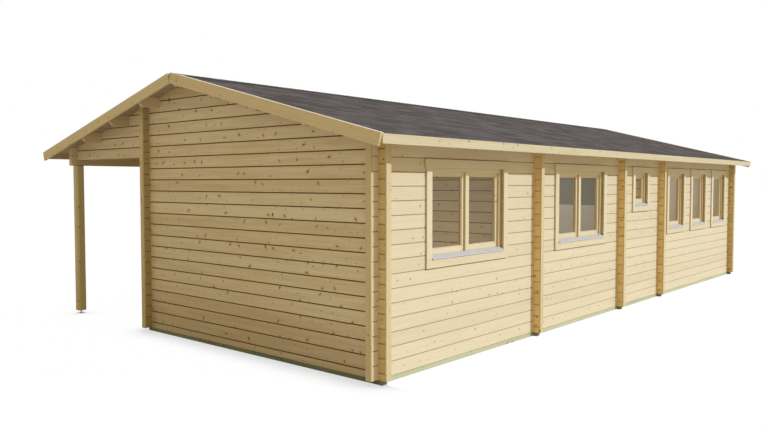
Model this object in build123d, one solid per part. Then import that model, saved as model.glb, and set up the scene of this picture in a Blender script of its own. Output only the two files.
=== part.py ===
# Log cabin with an open porch along one long side. Walls of planed logs cross and lap at every
# corner, purlins carry a low boarded roof, windows and doors are cut through the logs.
import math
import os

from build123d import *

# Logs: planed section, height of a course, bevel along the edges, run past a crossing
LOG_THICK = 70.0
COURSE = 135.0
BEVEL = 6.0
STUB = 79.0
CROSS_SHIFT_SHARE = 0.5
NECK_SHARE = 0.5

# Plan, between the middle lines of the walls
BAY_1 = 2814.0
BAY_2 = 2437.0
BAY_3 = 1577.0
BAY_4 = 3796.0
ROOM_DEEP = 3726.0
PORCH_DEEP = 1840.0

# Heights counted in courses above the bearers
EAVE_SHARES = 16.75
SILL_SHARES = 7.5
SMALL_SILL_SHARES = 10.5
HEAD_SHARES = 14.5
BEAM_SHARES = 15.0
TIE_SHARES = 15.5

# Bearers and floor
BEARER_HIGH = 45.0
BEARER_RUN = 50.0
JOIST_WIDE = 45.0
JOIST_PITCH = 600.0
FLOOR_THICK = 28.0

# Roof
PITCH_DEGREES = 14.5
GABLE_RUN = 306.0
EAVE_RUN = 296.0
BOARD_THICK = 19.0
COVER_THICK = 6.0
CAP_WIDE = 150.0
CAP_THICK = 4.0
PURLIN_WIDE = 45.0
PURLIN_HIGH = 120.0
PURLIN_NOSE = 60.0
PURLIN_BAYS = 4
BARGE_THICK = 28.0
BARGE_WIDE = 118.0
BARGE_RISE = 33.0
VERGE_LATH_WIDE = 30.0
FASCIA_THICK = 18.0
FASCIA_HIGH = 83.0
END_BOARD_THICK = 18.0

# Porch posts on steel feet
POST_WIDE = 115.0
POST_CHAMFER = 20.0
FOOT_PLATE_WIDE = 80.0
FOOT_PLATE_THICK = 6.0
FOOT_ROD_DIAMETER = 20.0

# Windows: sizes are those of the hole in the logs
WIDE_WINDOW = 1363.0
SMALL_WINDOW = 522.0
NARROW_WINDOW = 737.0
NARROW_PITCH = 1154.0
FRAME_FACE = 62.0
FRAME_DEEP = 62.0
FRAME_SET_BACK = 24.0
FRAME_POST = 60.0
SASH_FACE = 38.0
SASH_FOOT = 54.0
SASH_THICK = 40.0
GLASS_THICK = 6.0
CASING_WIDE = 86.0
CASING_THICK = 20.0
CASING_LAP_SHARE = 0.75
CASING_EAR = 20.0
SILL_THICK = 12.0
SILL_NOSE = 10.0

# Doors on the porch side, one to a room
DOOR_WIDE = 900.0
DOOR_FRAME_FACE = 60.0
DOOR_LEAF_THICK = 45.0
DOOR_SET_BACK = 8.0
THRESHOLD_HIGH = 25.0
HANDLE_PLATE_WIDE = 40.0
HANDLE_PLATE_HIGH = 220.0
HANDLE_PLATE_THICK = 8.0
HANDLE_LEVER_LONG = 120.0
HANDLE_LEVER_THICK = 18.0
HANDLE_REACH = 45.0
HANDLE_INSET = 55.0
HANDLE_LEVEL = 1050.0

# Lines that follow from the sizes
half_log = LOG_THICK / 2
slope = math.tan(math.radians(PITCH_DEGREES))
slope_cos = math.cos(math.radians(PITCH_DEGREES))
slope_sin = math.sin(math.radians(PITCH_DEGREES))
half_span = (ROOM_DEEP + PORCH_DEEP) / 2
front_y = -half_span
porch_y = front_y + ROOM_DEEP
beam_y = half_span
front_face = front_y - half_log
porch_face = porch_y + half_log
bays = [BAY_1, BAY_2, BAY_3, BAY_4]
half_long = sum(bays) / 2
axes_x = [-half_long + sum(bays[:i]) for i in range(len(bays) + 1)]
wall_end = half_long + half_log
stub_x = wall_end + STUB
stub_y = half_span + half_log + STUB
eave_y = half_span + half_log + EAVE_RUN
barge_x = wall_end + GABLE_RUN
roof_x = barge_x - BARGE_THICK
board_y = eave_y - FASCIA_THICK
ridge_z = BEARER_HIGH + EAVE_SHARES * COURSE + slope * half_span
board_rise = BOARD_THICK / slope_cos
cover_rise = board_rise + COVER_THICK / slope_cos
cap_rise = cover_rise + CAP_THICK / slope_cos
sky_z = ridge_z + COURSE
sill_z = BEARER_HIGH + SILL_SHARES * COURSE
small_sill_z = BEARER_HIGH + SMALL_SILL_SHARES * COURSE
head_z = BEARER_HIGH + HEAD_SHARES * COURSE
beam_z = BEARER_HIGH + BEAM_SHARES * COURSE
tie_z = BEARER_HIGH + TIE_SHARES * COURSE
courses_up = math.ceil((ridge_z - BEARER_HIGH) / COURSE) + 1
purlin_pitch = half_span / PURLIN_BAYS
casing_lap = CASING_WIDE * CASING_LAP_SHARE
frame_y0 = front_face + FRAME_SET_BACK
frame_y1 = frame_y0 + FRAME_DEEP
sash_y0 = frame_y1 - SASH_THICK
along_x = (1, 0, 0)
along_y = (0, 1, 0)

# Windows as (middle, hole width, hole bottom, number of sashes), left to right
bay_mids = [(axes_x[i] + axes_x[i + 1]) / 2 for i in range(len(bays))]
windows = [
    (bay_mids[0], WIDE_WINDOW, sill_z, 2),
    (bay_mids[1], WIDE_WINDOW, sill_z, 2),
    (bay_mids[2], SMALL_WINDOW, small_sill_z, 1),
    (bay_mids[3] - NARROW_PITCH, NARROW_WINDOW, sill_z, 1),
    (bay_mids[3], NARROW_WINDOW, sill_z, 1),
    (bay_mids[3] + NARROW_PITCH, NARROW_WINDOW, sill_z, 1),
]


def box(x0, x1, y0, y1, z0, z1):
    """Plain block between two corners."""
    size = Box(x1 - x0, y1 - y0, z1 - z0)
    return Pos((x0 + x1) / 2, (y0 + y1) / 2, (z0 + z1) / 2) * size


def prism(points, length, along):
    """Solid from a closed outline of 3-D points pushed along an axis."""
    return extrude(make_face(Polyline(*points, close=True)), amount=length, dir=along)


def soffit(y):
    """Height of the roof's underside."""
    return ridge_z - slope * abs(y)


def log_edge(low, high, shift):
    """Distances in from the log face and heights, up one side of stacked logs."""
    grooves = [BEARER_HIGH + (k + shift) * COURSE for k in range(courses_up + 1)]
    edge = []
    if any(abs(low - g) < BEVEL for g in grooves):
        edge += [(BEVEL, low), (0, low + BEVEL)]
    else:
        edge += [(0, low)]
    for g in grooves:
        if low + BEVEL < g < high - BEVEL:
            edge += [(0, g - BEVEL), (BEVEL, g), (0, g + BEVEL)]
    if any(abs(high - g) < BEVEL for g in grooves):
        edge += [(0, high - BEVEL), (BEVEL, high)]
    else:
        edge += [(0, high)]
    return edge


def long_logs(x0, x1, y, low, high):
    """Logs stacked in a wall that runs along X."""
    edge = log_edge(low, high, 0)
    outline = [(x0, y + half_log - d, z) for d, z in edge]
    outline += [(x0, y - half_log + d, z) for d, z in reversed(edge)]
    return prism(outline, x1 - x0, along_x)


def cross_logs(x, y0, y1, low, high):
    """Logs stacked in a wall that runs along Y, half a course off the long walls."""
    edge = log_edge(low, high, CROSS_SHIFT_SHARE)
    outline = [(x + half_log - d, y0, z) for d, z in edge]
    outline += [(x - half_log + d, y0, z) for d, z in reversed(edge)]
    return prism(outline, y1 - y0, along_y)


def laps(x, y, low, high, shift):
    """Blocks the other wall's necks fill in one crossing, between two heights."""
    half_neck = NECK_SHARE * COURSE / 2
    cuts = []
    for k in range(courses_up + 1):
        mid = BEARER_HIGH + (k + shift) * COURSE
        z0 = max(mid - half_neck, low)
        z1 = min(mid + half_neck, high)
        if z1 > z0:
            cuts.append(box(x - half_log, x + half_log, y - half_log, y + half_log, z0, z1))
    return cuts


def long_laps(x0, x1, y, low, high):
    """Laps a long wall loses to every cross wall on its way."""
    cuts = []
    for x in axes_x:
        if x0 < x < x1:
            cuts += laps(x, y, low, high, 0)
    return cuts


def cross_laps(x, lines, low, high):
    """Laps a cross wall loses to the long walls."""
    cuts = []
    for y in lines:
        cuts += laps(x, y, low, high, CROSS_SHIFT_SHARE)
    return cuts


def above_roof():
    """Everything over the roof's underside."""
    far_y = eave_y + COURSE
    far_x = barge_x + COURSE
    outline = [(-far_x, -far_y, soffit(far_y)), (-far_x, 0, ridge_z), (-far_x, far_y, soffit(far_y))]
    outline += [(-far_x, far_y, sky_z), (-far_x, -far_y, sky_z)]
    return prism(outline, far_x + far_x, along_x)


sky = above_roof()


def purlin(y):
    """Roof purlin with its lower end corners cut off, top flush with the boards."""
    low = soffit(y) - PURLIN_HIGH
    y0 = y - PURLIN_WIDE / 2
    outline = [(-roof_x, y0, sky_z), (-roof_x, y0, low + PURLIN_NOSE), (-roof_x + PURLIN_NOSE, y0, low)]
    outline += [(roof_x - PURLIN_NOSE, y0, low), (roof_x, y0, low + PURLIN_NOSE), (roof_x, y0, sky_z)]
    return prism(outline, PURLIN_WIDE, along_y) - sky


def purlin_notch(x, y):
    """Room for a purlin in the logs of a cross wall."""
    low = soffit(y) - PURLIN_HIGH
    half_wide = PURLIN_WIDE / 2
    return box(x - LOG_THICK, x + LOG_THICK, y - half_wide, y + half_wide, low, sky_z)


def ring(outer, inner):
    """Frame left when a block is cut from a larger one."""
    return outer - inner


front_purlin_lines = [-purlin_pitch * (i + 1) for i in range(PURLIN_BAYS - 1)]
porch_purlin_lines = [purlin_pitch * (i + 1) for i in range(PURLIN_BAYS - 1)]
purlin_lines = front_purlin_lines + [0] + porch_purlin_lines


# Bearers under every wall
def long_bearers():
    pieces = []
    for y in (front_y, porch_y):
        for i in range(len(bays)):
            x0 = axes_x[i] + half_log
            x1 = axes_x[i + 1] - half_log
            pieces.append(box(x0, x1, y - half_log, y + half_log, 0, BEARER_HIGH))
    return pieces


def cross_bearers():
    y0 = front_face - BEARER_RUN
    return [box(x - half_log, x + half_log, y0, porch_face, 0, BEARER_HIGH) for x in axes_x]


# Floor in the rooms
def floor_joists():
    pieces = []
    for i in range(len(bays)):
        x0 = axes_x[i] + half_log
        x1 = axes_x[i + 1] - half_log
        count = max(2, math.ceil((x1 - x0) / JOIST_PITCH))
        step = (x1 - x0 - JOIST_WIDE) / (count - 1)
        for k in range(count):
            x = x0 + k * step
            pieces.append(box(x, x + JOIST_WIDE, front_y + half_log, porch_y - half_log, 0, BEARER_HIGH))
    return pieces


def floor_boards():
    top = BEARER_HIGH + FLOOR_THICK
    pieces = []
    for i in range(len(bays)):
        x0 = axes_x[i] + half_log
        x1 = axes_x[i + 1] - half_log
        pieces.append(box(x0, x1, front_y + half_log, porch_y - half_log, BEARER_HIGH, top))
    return pieces


# Window wall: through logs below, short logs between the windows, through logs above
def front_wall_lower():
    wall = long_logs(-stub_x, stub_x, front_y, BEARER_HIGH, sill_z)
    return [wall - long_laps(-stub_x, stub_x, front_y, BEARER_HIGH, sill_z)]


def front_wall_piers():
    tall = [w for w in windows if w[2] == sill_z]
    starts = [-stub_x] + [w[0] + w[1] / 2 for w in tall]
    ends = [w[0] - w[1] / 2 for w in tall] + [stub_x]
    pieces = []
    for x0, x1 in zip(starts, ends):
        pier = long_logs(x0, x1, front_y, sill_z, head_z)
        cuts = long_laps(x0, x1, front_y, sill_z, head_z)
        for mid, wide, low, count in windows:
            if low > sill_z and x0 < mid < x1:
                y0 = front_y - LOG_THICK
                y1 = front_y + LOG_THICK
                cuts.append(box(mid - wide / 2, mid + wide / 2, y0, y1, low, head_z))
        pieces.append(pier - cuts if cuts else pier)
    return pieces


def front_wall_upper():
    wall = long_logs(-stub_x, stub_x, front_y, head_z, ridge_z)
    return [wall - long_laps(-stub_x, stub_x, front_y, head_z, ridge_z) - sky]


# Porch wall: short logs between the doors, through logs above
def porch_wall_piers():
    starts = [-stub_x] + [x + DOOR_WIDE / 2 for x in bay_mids]
    ends = [x - DOOR_WIDE / 2 for x in bay_mids] + [stub_x]
    pieces = []
    for x0, x1 in zip(starts, ends):
        pier = long_logs(x0, x1, porch_y, BEARER_HIGH, head_z)
        pieces.append(pier - long_laps(x0, x1, porch_y, BEARER_HIGH, head_z))
    return pieces


def porch_wall_upper():
    wall = long_logs(-stub_x, stub_x, porch_y, head_z, ridge_z)
    return [wall - long_laps(-stub_x, stub_x, porch_y, head_z, ridge_z) - sky]


# Gables and room walls: the same logs, the upper ones run on over the porch
def cross_wall(x):
    y0 = front_face - STUB
    y1 = porch_face + STUB
    wall = cross_logs(x, y0, y1, BEARER_HIGH, tie_z)
    return wall - cross_laps(x, (front_y, porch_y), BEARER_HIGH, tie_z)


def cross_top(x):
    wall = cross_logs(x, -stub_y, stub_y, tie_z, ridge_z)
    cuts = cross_laps(x, (front_y, porch_y, beam_y), tie_z, ridge_z)
    cuts += [purlin_notch(x, y) for y in purlin_lines]
    return wall - cuts - sky


# Porch beam, posts and feet
def porch_beam():
    beam = long_logs(-stub_x, stub_x, beam_y, beam_z, ridge_z)
    return [beam - long_laps(-stub_x, stub_x, beam_y, tie_z, ridge_z) - sky]


def post(x):
    half = POST_WIDE / 2
    flat = half - POST_CHAMFER
    corners = [(half, -flat), (half, flat), (flat, half), (-flat, half)]
    corners += [(-half, flat), (-half, -flat), (-flat, -half), (flat, -half)]
    outline = [(x + dx, beam_y + dy, BEARER_HIGH) for dx, dy in corners]
    return prism(outline, beam_z - BEARER_HIGH, (0, 0, 1))


def post_foot(x):
    half = FOOT_PLATE_WIDE / 2
    base = box(x - half, x + half, beam_y - half, beam_y + half, 0, FOOT_PLATE_THICK)
    top_low = BEARER_HIGH - FOOT_PLATE_THICK
    top = box(x - half, x + half, beam_y - half, beam_y + half, top_low, BEARER_HIGH)
    rod_mid = Pos(x, beam_y, BEARER_HIGH / 2)
    rod = rod_mid * Cylinder(FOOT_ROD_DIAMETER / 2, BEARER_HIGH - FOOT_PLATE_THICK)
    return base + top + rod


# Roof layers, one slab to a slope
def roof_slab(side, y1, low_rise, high_rise):
    outline = [(-roof_x, 0, ridge_z + low_rise), (-roof_x, side * y1, soffit(y1) + low_rise)]
    outline += [(-roof_x, side * y1, soffit(y1) + high_rise), (-roof_x, 0, ridge_z + high_rise)]
    return [prism(outline, roof_x + roof_x, along_x)]


def ridge_cap():
    """Felt cap in two leaves that meet on the ridge."""
    return [leaf for side in (-1, 1) for leaf in roof_slab(side, CAP_WIDE, cover_rise, cap_rise)]


def barge(x0, side):
    low_ridge = ridge_z + BARGE_RISE - BARGE_WIDE / slope_cos
    long = (eave_y - BARGE_WIDE * slope_sin) / slope_cos
    corners = [(0, 0), (long, 0), (long, BARGE_WIDE), (0, BARGE_WIDE)]
    outline = []
    for along, up in corners:
        y = side * (along * slope_cos + up * slope_sin)
        outline.append((x0, y, low_ridge - along * slope_sin + up * slope_cos))
    return prism(outline, BARGE_THICK, along_x)


def verge_laths():
    """Flat laths on the covering behind the barge boards, from the ridge cap to the eave."""
    section = [(CAP_WIDE, cover_rise), (board_y, cover_rise), (board_y, BARGE_RISE), (CAP_WIDE, BARGE_RISE)]
    pieces = []
    for x0 in (-roof_x, roof_x - VERGE_LATH_WIDE):
        for side in (-1, 1):
            outline = [(x0, side * y, soffit(y) + rise) for y, rise in section]
            pieces.append(prism(outline, VERGE_LATH_WIDE, along_x))
    return pieces


def fascia(side):
    top_in = soffit(board_y) + cover_rise
    top_out = soffit(eave_y) + cover_rise
    low = top_out - FASCIA_HIGH
    outline = [(-roof_x, side * board_y, low), (-roof_x, side * eave_y, low)]
    outline += [(-roof_x, side * eave_y, top_out), (-roof_x, side * board_y, top_in)]
    return [prism(outline, roof_x + roof_x, along_x)]


# Boards over the log ends
def front_end_boards():
    y1 = front_face - STUB
    y0 = y1 - END_BOARD_THICK
    return [box(x - half_log, x + half_log, y0, y1, BEARER_HIGH, ridge_z) - sky for x in axes_x]


def porch_end_boards():
    y0 = porch_face + STUB
    y1 = y0 + END_BOARD_THICK
    return [box(x - half_log, x + half_log, y0, y1, BEARER_HIGH, tie_z) for x in axes_x]


def gable_end_boards():
    pieces = []
    for x0 in (-stub_x - END_BOARD_THICK, stub_x):
        for y in (front_y, porch_y):
            board = box(x0, x0 + END_BOARD_THICK, y - half_log, y + half_log, BEARER_HIGH, ridge_z)
            pieces.append(board - sky)
    return pieces


# Windows
def window_frames():
    pieces = []
    for window in windows:
        mid, wide, low, count = window
        frame = box(mid - wide / 2, mid + wide / 2, frame_y0, frame_y1, low, head_z)
        for x0, x1, foot in sash_places(window):
            frame -= box(x0, x1, frame_y0, frame_y1, foot, head_z - FRAME_FACE)
        pieces.append(frame)
    return pieces


def sash_places(window):
    """Left and right edges and bottom of every sash of a window."""
    mid, wide, low, count = window
    clear = wide - 2 * FRAME_FACE - (count - 1) * FRAME_POST
    each = clear / count
    start = mid - wide / 2 + FRAME_FACE
    edges = [start + k * (each + FRAME_POST) for k in range(count)]
    return [(x0, x0 + each, low + FRAME_FACE) for x0 in edges]


all_sashes = [place for window in windows for place in sash_places(window)]


def pane(place, y0, y1):
    """Block that fills the clear opening of a sash."""
    x0, x1, low = place
    top = head_z - FRAME_FACE - SASH_FACE
    return box(x0 + SASH_FACE, x1 - SASH_FACE, y0, y1, low + SASH_FOOT, top)


def window_sashes():
    top = head_z - FRAME_FACE
    pieces = []
    for place in all_sashes:
        x0, x1, low = place
        pieces.append(ring(box(x0, x1, sash_y0, frame_y1, low, top), pane(place, sash_y0, frame_y1)))
    return pieces


def window_glass():
    mid_y = (sash_y0 + frame_y1) / 2
    return [pane(place, mid_y - GLASS_THICK / 2, mid_y + GLASS_THICK / 2) for place in all_sashes]


def window_sills():
    nose_y = front_face - CASING_THICK - SILL_NOSE
    pieces = []
    for mid, wide, low, count in windows:
        casing_top = low - casing_lap + CASING_WIDE
        x0 = mid - wide / 2 - casing_lap + CASING_WIDE
        outline = [(x0, nose_y, casing_top), (x0, nose_y, casing_top + SILL_THICK)]
        outline += [(x0, frame_y0, low + FRAME_FACE), (x0, frame_y0, low)]
        outline += [(x0, front_face, low), (x0, front_face, casing_top)]
        pieces.append(prism(outline, 2 * (mid - x0), along_x))
    return pieces


def casing_edges(mid, wide):
    return mid - wide / 2 - casing_lap, mid + wide / 2 + casing_lap


def head_casings(face_y0, face_y1, holes):
    low = head_z + casing_lap - CASING_WIDE
    pieces = []
    for mid, wide in holes:
        x0, x1 = casing_edges(mid, wide)
        pieces.append(box(x0 - CASING_EAR, x1 + CASING_EAR, face_y0, face_y1, low, head_z + casing_lap))
    return pieces


def side_casings(face_y0, face_y1, holes):
    high = head_z + casing_lap - CASING_WIDE
    pieces = []
    for mid, wide, low in holes:
        x0, x1 = casing_edges(mid, wide)
        pieces.append(box(x0, x0 + CASING_WIDE, face_y0, face_y1, low, high))
        pieces.append(box(x1 - CASING_WIDE, x1, face_y0, face_y1, low, high))
    return pieces


def bottom_casings(face_y0, face_y1):
    pieces = []
    for mid, wide, low, count in windows:
        x0, x1 = casing_edges(mid, wide)
        z0 = low - casing_lap
        pieces.append(box(x0, x1, face_y0, face_y1, z0, z0 + CASING_WIDE))
    return pieces


# Doors
def door_frames():
    y0 = porch_y - half_log
    pieces = []
    for mid in bay_mids:
        x0 = mid - DOOR_WIDE / 2
        x1 = mid + DOOR_WIDE / 2
        outer = box(x0, x1, y0, porch_face, BEARER_HIGH, head_z)
        low = BEARER_HIGH + FLOOR_THICK + THRESHOLD_HIGH
        inner = box(x0 + DOOR_FRAME_FACE, x1 - DOOR_FRAME_FACE, y0, porch_face, low, head_z - DOOR_FRAME_FACE)
        pieces.append(ring(outer, inner))
    return pieces


def door_leaves():
    y1 = porch_face - DOOR_SET_BACK
    y0 = y1 - DOOR_LEAF_THICK
    low = BEARER_HIGH + FLOOR_THICK + THRESHOLD_HIGH
    half = DOOR_WIDE / 2 - DOOR_FRAME_FACE
    return [box(x - half, x + half, y0, y1, low, head_z - DOOR_FRAME_FACE) for x in bay_mids]


def door_handles():
    y0 = porch_face - DOOR_SET_BACK
    y1 = y0 + HANDLE_PLATE_THICK
    y2 = y0 + HANDLE_REACH
    half = HANDLE_PLATE_WIDE / 2
    half_lever = HANDLE_LEVER_THICK / 2
    pieces = []
    for mid in bay_mids:
        x = mid + DOOR_WIDE / 2 - DOOR_FRAME_FACE - HANDLE_INSET
        z0 = HANDLE_LEVEL - HANDLE_PLATE_HIGH / 2
        plate = box(x - half, x + half, y0, y1, z0, z0 + HANDLE_PLATE_HIGH)
        z1 = HANDLE_LEVEL - half_lever
        z2 = HANDLE_LEVEL + half_lever
        neck = box(x - half_lever, x + half_lever, y1, y2, z1, z2)
        lever = box(x + half_lever - HANDLE_LEVER_LONG, x + half_lever, y2 - HANDLE_LEVER_THICK, y2, z1, z2)
        pieces.append(plate + neck + lever)
    return pieces


out_y = front_face - CASING_THICK
window_heads = [(w[0], w[1]) for w in windows]
window_sides = [(w[0], w[1], w[2] - casing_lap + CASING_WIDE) for w in windows]
door_y = porch_face + CASING_THICK
door_heads = [(x, DOOR_WIDE) for x in bay_mids]
door_sides = [(x, DOOR_WIDE, BEARER_HIGH) for x in bay_mids]
first = axes_x[0]
last = axes_x[-1]
inner_axes = axes_x[1:-1]

nodes = {
    "long_bearers": long_bearers(),
    "cross_bearers": cross_bearers(),
    "floor_joists": floor_joists(),
    "floor_boards": floor_boards(),
    "front_wall_lower_logs": front_wall_lower(),
    "front_wall_pier_logs": front_wall_piers(),
    "front_wall_upper_logs": front_wall_upper(),
    "porch_wall_pier_logs": porch_wall_piers(),
    "porch_wall_upper_logs": porch_wall_upper(),
    "near_gable_wall": [cross_wall(first)],
    "far_gable_wall": [cross_wall(last)],
    "room_walls": [cross_wall(x) for x in inner_axes],
    "near_gable_top": [cross_top(first)],
    "far_gable_top": [cross_top(last)],
    "room_wall_tops": [cross_top(x) for x in inner_axes],
    "porch_beam": porch_beam(),
    "porch_posts": [post(x) for x in axes_x],
    "post_feet": [post_foot(x) for x in axes_x],
    "ridge_purlin": [purlin(0)],
    "front_purlins": [purlin(y) for y in front_purlin_lines],
    "porch_purlins": [purlin(y) for y in porch_purlin_lines],
    "front_roof_boards": roof_slab(-1, board_y, 0, board_rise),
    "porch_roof_boards": roof_slab(1, board_y, 0, board_rise),
    "front_roof_covering": roof_slab(-1, board_y, board_rise, cover_rise),
    "porch_roof_covering": roof_slab(1, board_y, board_rise, cover_rise),
    "ridge_cap": ridge_cap(),
    "near_barge_boards": [barge(-barge_x, -1), barge(-barge_x, 1)],
    "far_barge_boards": [barge(roof_x, -1), barge(roof_x, 1)],
    "verge_laths": verge_laths(),
    "front_fascia": fascia(-1),
    "porch_fascia": fascia(1),
    "front_end_boards": front_end_boards(),
    "porch_end_boards": porch_end_boards(),
    "gable_end_boards": gable_end_boards(),
    "window_frames": window_frames(),
    "window_sashes": window_sashes(),
    "window_glass": window_glass(),
    "window_sills": window_sills(),
    "window_head_casings": head_casings(out_y, front_face, window_heads),
    "window_side_casings": side_casings(out_y, front_face, window_sides),
    "window_bottom_casings": bottom_casings(out_y, front_face),
    "door_frames": door_frames(),
    "door_leaves": door_leaves(),
    "door_head_casings": head_casings(porch_face, door_y, door_heads),
    "door_side_casings": side_casings(porch_face, door_y, door_sides),
    "door_handles": door_handles(),
}

os.makedirs("parts", exist_ok=True)
for name, pieces in nodes.items():
    solids = []
    for piece in pieces:
        solids += piece.solids()
    export_step(solids[0] if len(solids) == 1 else Compound(children=solids), f"parts/{name}.step")
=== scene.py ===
"""Log cabin with a long porch: planed pine logs, boarded roof under felt shingles, glazed windows."""
import bpy
import bmesh
import math
import random
from mathutils import Matrix, Vector


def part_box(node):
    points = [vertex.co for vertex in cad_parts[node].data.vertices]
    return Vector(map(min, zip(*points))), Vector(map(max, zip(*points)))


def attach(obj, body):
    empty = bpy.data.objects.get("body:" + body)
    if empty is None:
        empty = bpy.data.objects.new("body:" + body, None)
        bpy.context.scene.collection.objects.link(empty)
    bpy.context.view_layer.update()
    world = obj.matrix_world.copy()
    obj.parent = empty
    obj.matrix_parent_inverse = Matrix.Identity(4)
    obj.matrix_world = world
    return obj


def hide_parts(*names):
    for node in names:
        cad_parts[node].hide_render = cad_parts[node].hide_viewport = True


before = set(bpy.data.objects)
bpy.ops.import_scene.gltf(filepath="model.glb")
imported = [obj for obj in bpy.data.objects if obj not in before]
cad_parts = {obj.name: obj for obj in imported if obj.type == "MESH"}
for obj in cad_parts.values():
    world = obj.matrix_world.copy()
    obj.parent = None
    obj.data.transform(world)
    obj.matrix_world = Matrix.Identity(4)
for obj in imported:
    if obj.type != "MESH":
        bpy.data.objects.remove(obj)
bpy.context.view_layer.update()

# Sizes the finishes and small pieces follow, in metres and radians
PITCH = math.radians(14.5)
COURSE = 0.135
BEARER_TOP = 0.045
SMALLEST = 1e-5
FLAT_ANGLE = 0.01
SHARP_ANGLE = 0.5
STANDING_SHARE = 0.9
UP = Vector((0, 0, 1))

# Eased edges
EASE_FLOOR = 0.0015
EASE_LATH = 0.0015
EASE_BOARD = 0.0025
EASE_FRAME = 0.003
EASE_BEAD = 0.0035
EASE_DOOR_BOARD = 0.004
EASE_HANDLE = 0.003
EASE_PLATE = 0.0015
EASE_LINING = 0.001

# Floor boards and post feet
FLOOR_BOARD = 0.12
BOARD_GAP = 0.0004
PLATE_THICK = 0.006
ROD_TURNS = 13
ROD_SIDES = 16
ROD_CORE = 0.0086
ROD_CREST = 0.0100
NUT_SIDES = 6
NUT_HIGH = 0.010
NUT_FACE = 0.0145
NUT_RADIUS = 0.0160
NUT_CHAMFER = 0.0015

# Roof covering and roof boards
COURSES = 22
TAB_WIDE = 0.333
TAB_GAP = 0.0035
TAB_FOOT = 0.0004
TAB_BUTT = 0.0052
TAB_HEAD = 0.0016
TAB_LAP = 0.004
TAB_JITTER = 0.004
JITTER_SEED = 5
SPARE_TABS = 2
UNDERLAY = 0.0009
RIDGE_GAP = 0.001
CAPS = 52
CAP_THICK = 0.0028
CAP_LIFT = 0.0010
CAP_GAP = 0.0005
CAP_BEND_SHARE = 0.12
CAP_CROWN_SHARE = 0.03
ROOF_BOARDS = 96
ROOF_BOARD_THICK = 0.019
ROOF_BOARD_GAP = 0.0003
ROOF_BOARD_BEVEL = 0.004

# Windows and doors
TWO_SASHES_WIDE = 1.0
FRAME_FACE = 0.062
FRAME_POST = 0.060
SASH_FACE = 0.038
SASH_FOOT = 0.054
BEAD_DEEP = 0.010
BEAD_FACE = 0.009
DOOR_FRAME_FACE = 0.060
THRESHOLD = 0.053
DOOR_BOARDS = 7
HINGE_INSET = 0.22
HINGE_HALF = 0.050
HINGE_BARREL = 0.048
HINGE_RADIUS = 0.0065
HINGE_PROUD = 0.004
HINGE_SIDES = 12

# Screws: the head's outline is given in shares of its radius, with the height of each ring
SCREW_RADIUS = 0.0042
SCREW_SIDES = 10
SCREW_SHARES = ((0.45, -0.0024), (1.0, 0.0002), (0.72, 0.0007), (0.34, 0.0006), (0.28, -0.0012))
END_SCREW_STEP = 0.405
END_SCREW_FOOT = 0.06
END_SCREW_TOP = 0.10
END_SCREW_SHARES = (0.28, 0.72)
CASING_SCREW_STEP = 0.42
CASING_SCREW_INSET = 0.045

# Lining panels in the rooms
LINING_FOOT = 0.073
LINING_SPLIT = 1.500
LINING_TOP = 2.250
LINING_THICK = 0.012
LINING_GAP = 0.002

# Studio
FLOOR_HALF = 80.0
FLOOR_COLOUR = (0.74, 0.680, 0.580, 1.0)
FLOOR_GLOW = 1.022
FLOOR_GLOW_SHARE = 0.97
SHADE_REACH = 0.45
SHADE_FULL = 0.45
SHADE_DEPTH = 0.31
SHADE_PAST_X = -5.3
SHADE_PAST_Y = 0.9
SKY_COLOUR = (1.0, 0.895, 0.735, 1.0)
SKY_STRENGTH = 0.52
SUN_FROM = Vector((0.468, -0.68, 0.55))
SUN_COLOUR = (0.566, 0.672, 1.0)
SUN_STRENGTH = 4.36
SUN_ANGLE = math.radians(1.2)
WARM_BULB = (1.0, 0.93, 0.82)
COOL_BULB = (0.96, 0.95, 1.0)
# a bulb for each room: watts a metre of the room, height and colour
BULBS = ((6.3, 1.0, WARM_BULB), (9.0, 1.9, WARM_BULB), (12.2, 1.9, WARM_BULB), (11.0, 1.9, COOL_BULB))
BULB_FORWARD = 0.5
BULB_RADIUS = 0.4
CAMERA_PLACE = (-10.2757, -7.1365, 1.8356)
CAMERA_YAW = math.radians(40.772)
CAMERA_TIP = math.radians(-2.625)
LENS = 34.252
SENSOR_WIDE = 36.0
CAMERA_REACH = 300.0


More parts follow.
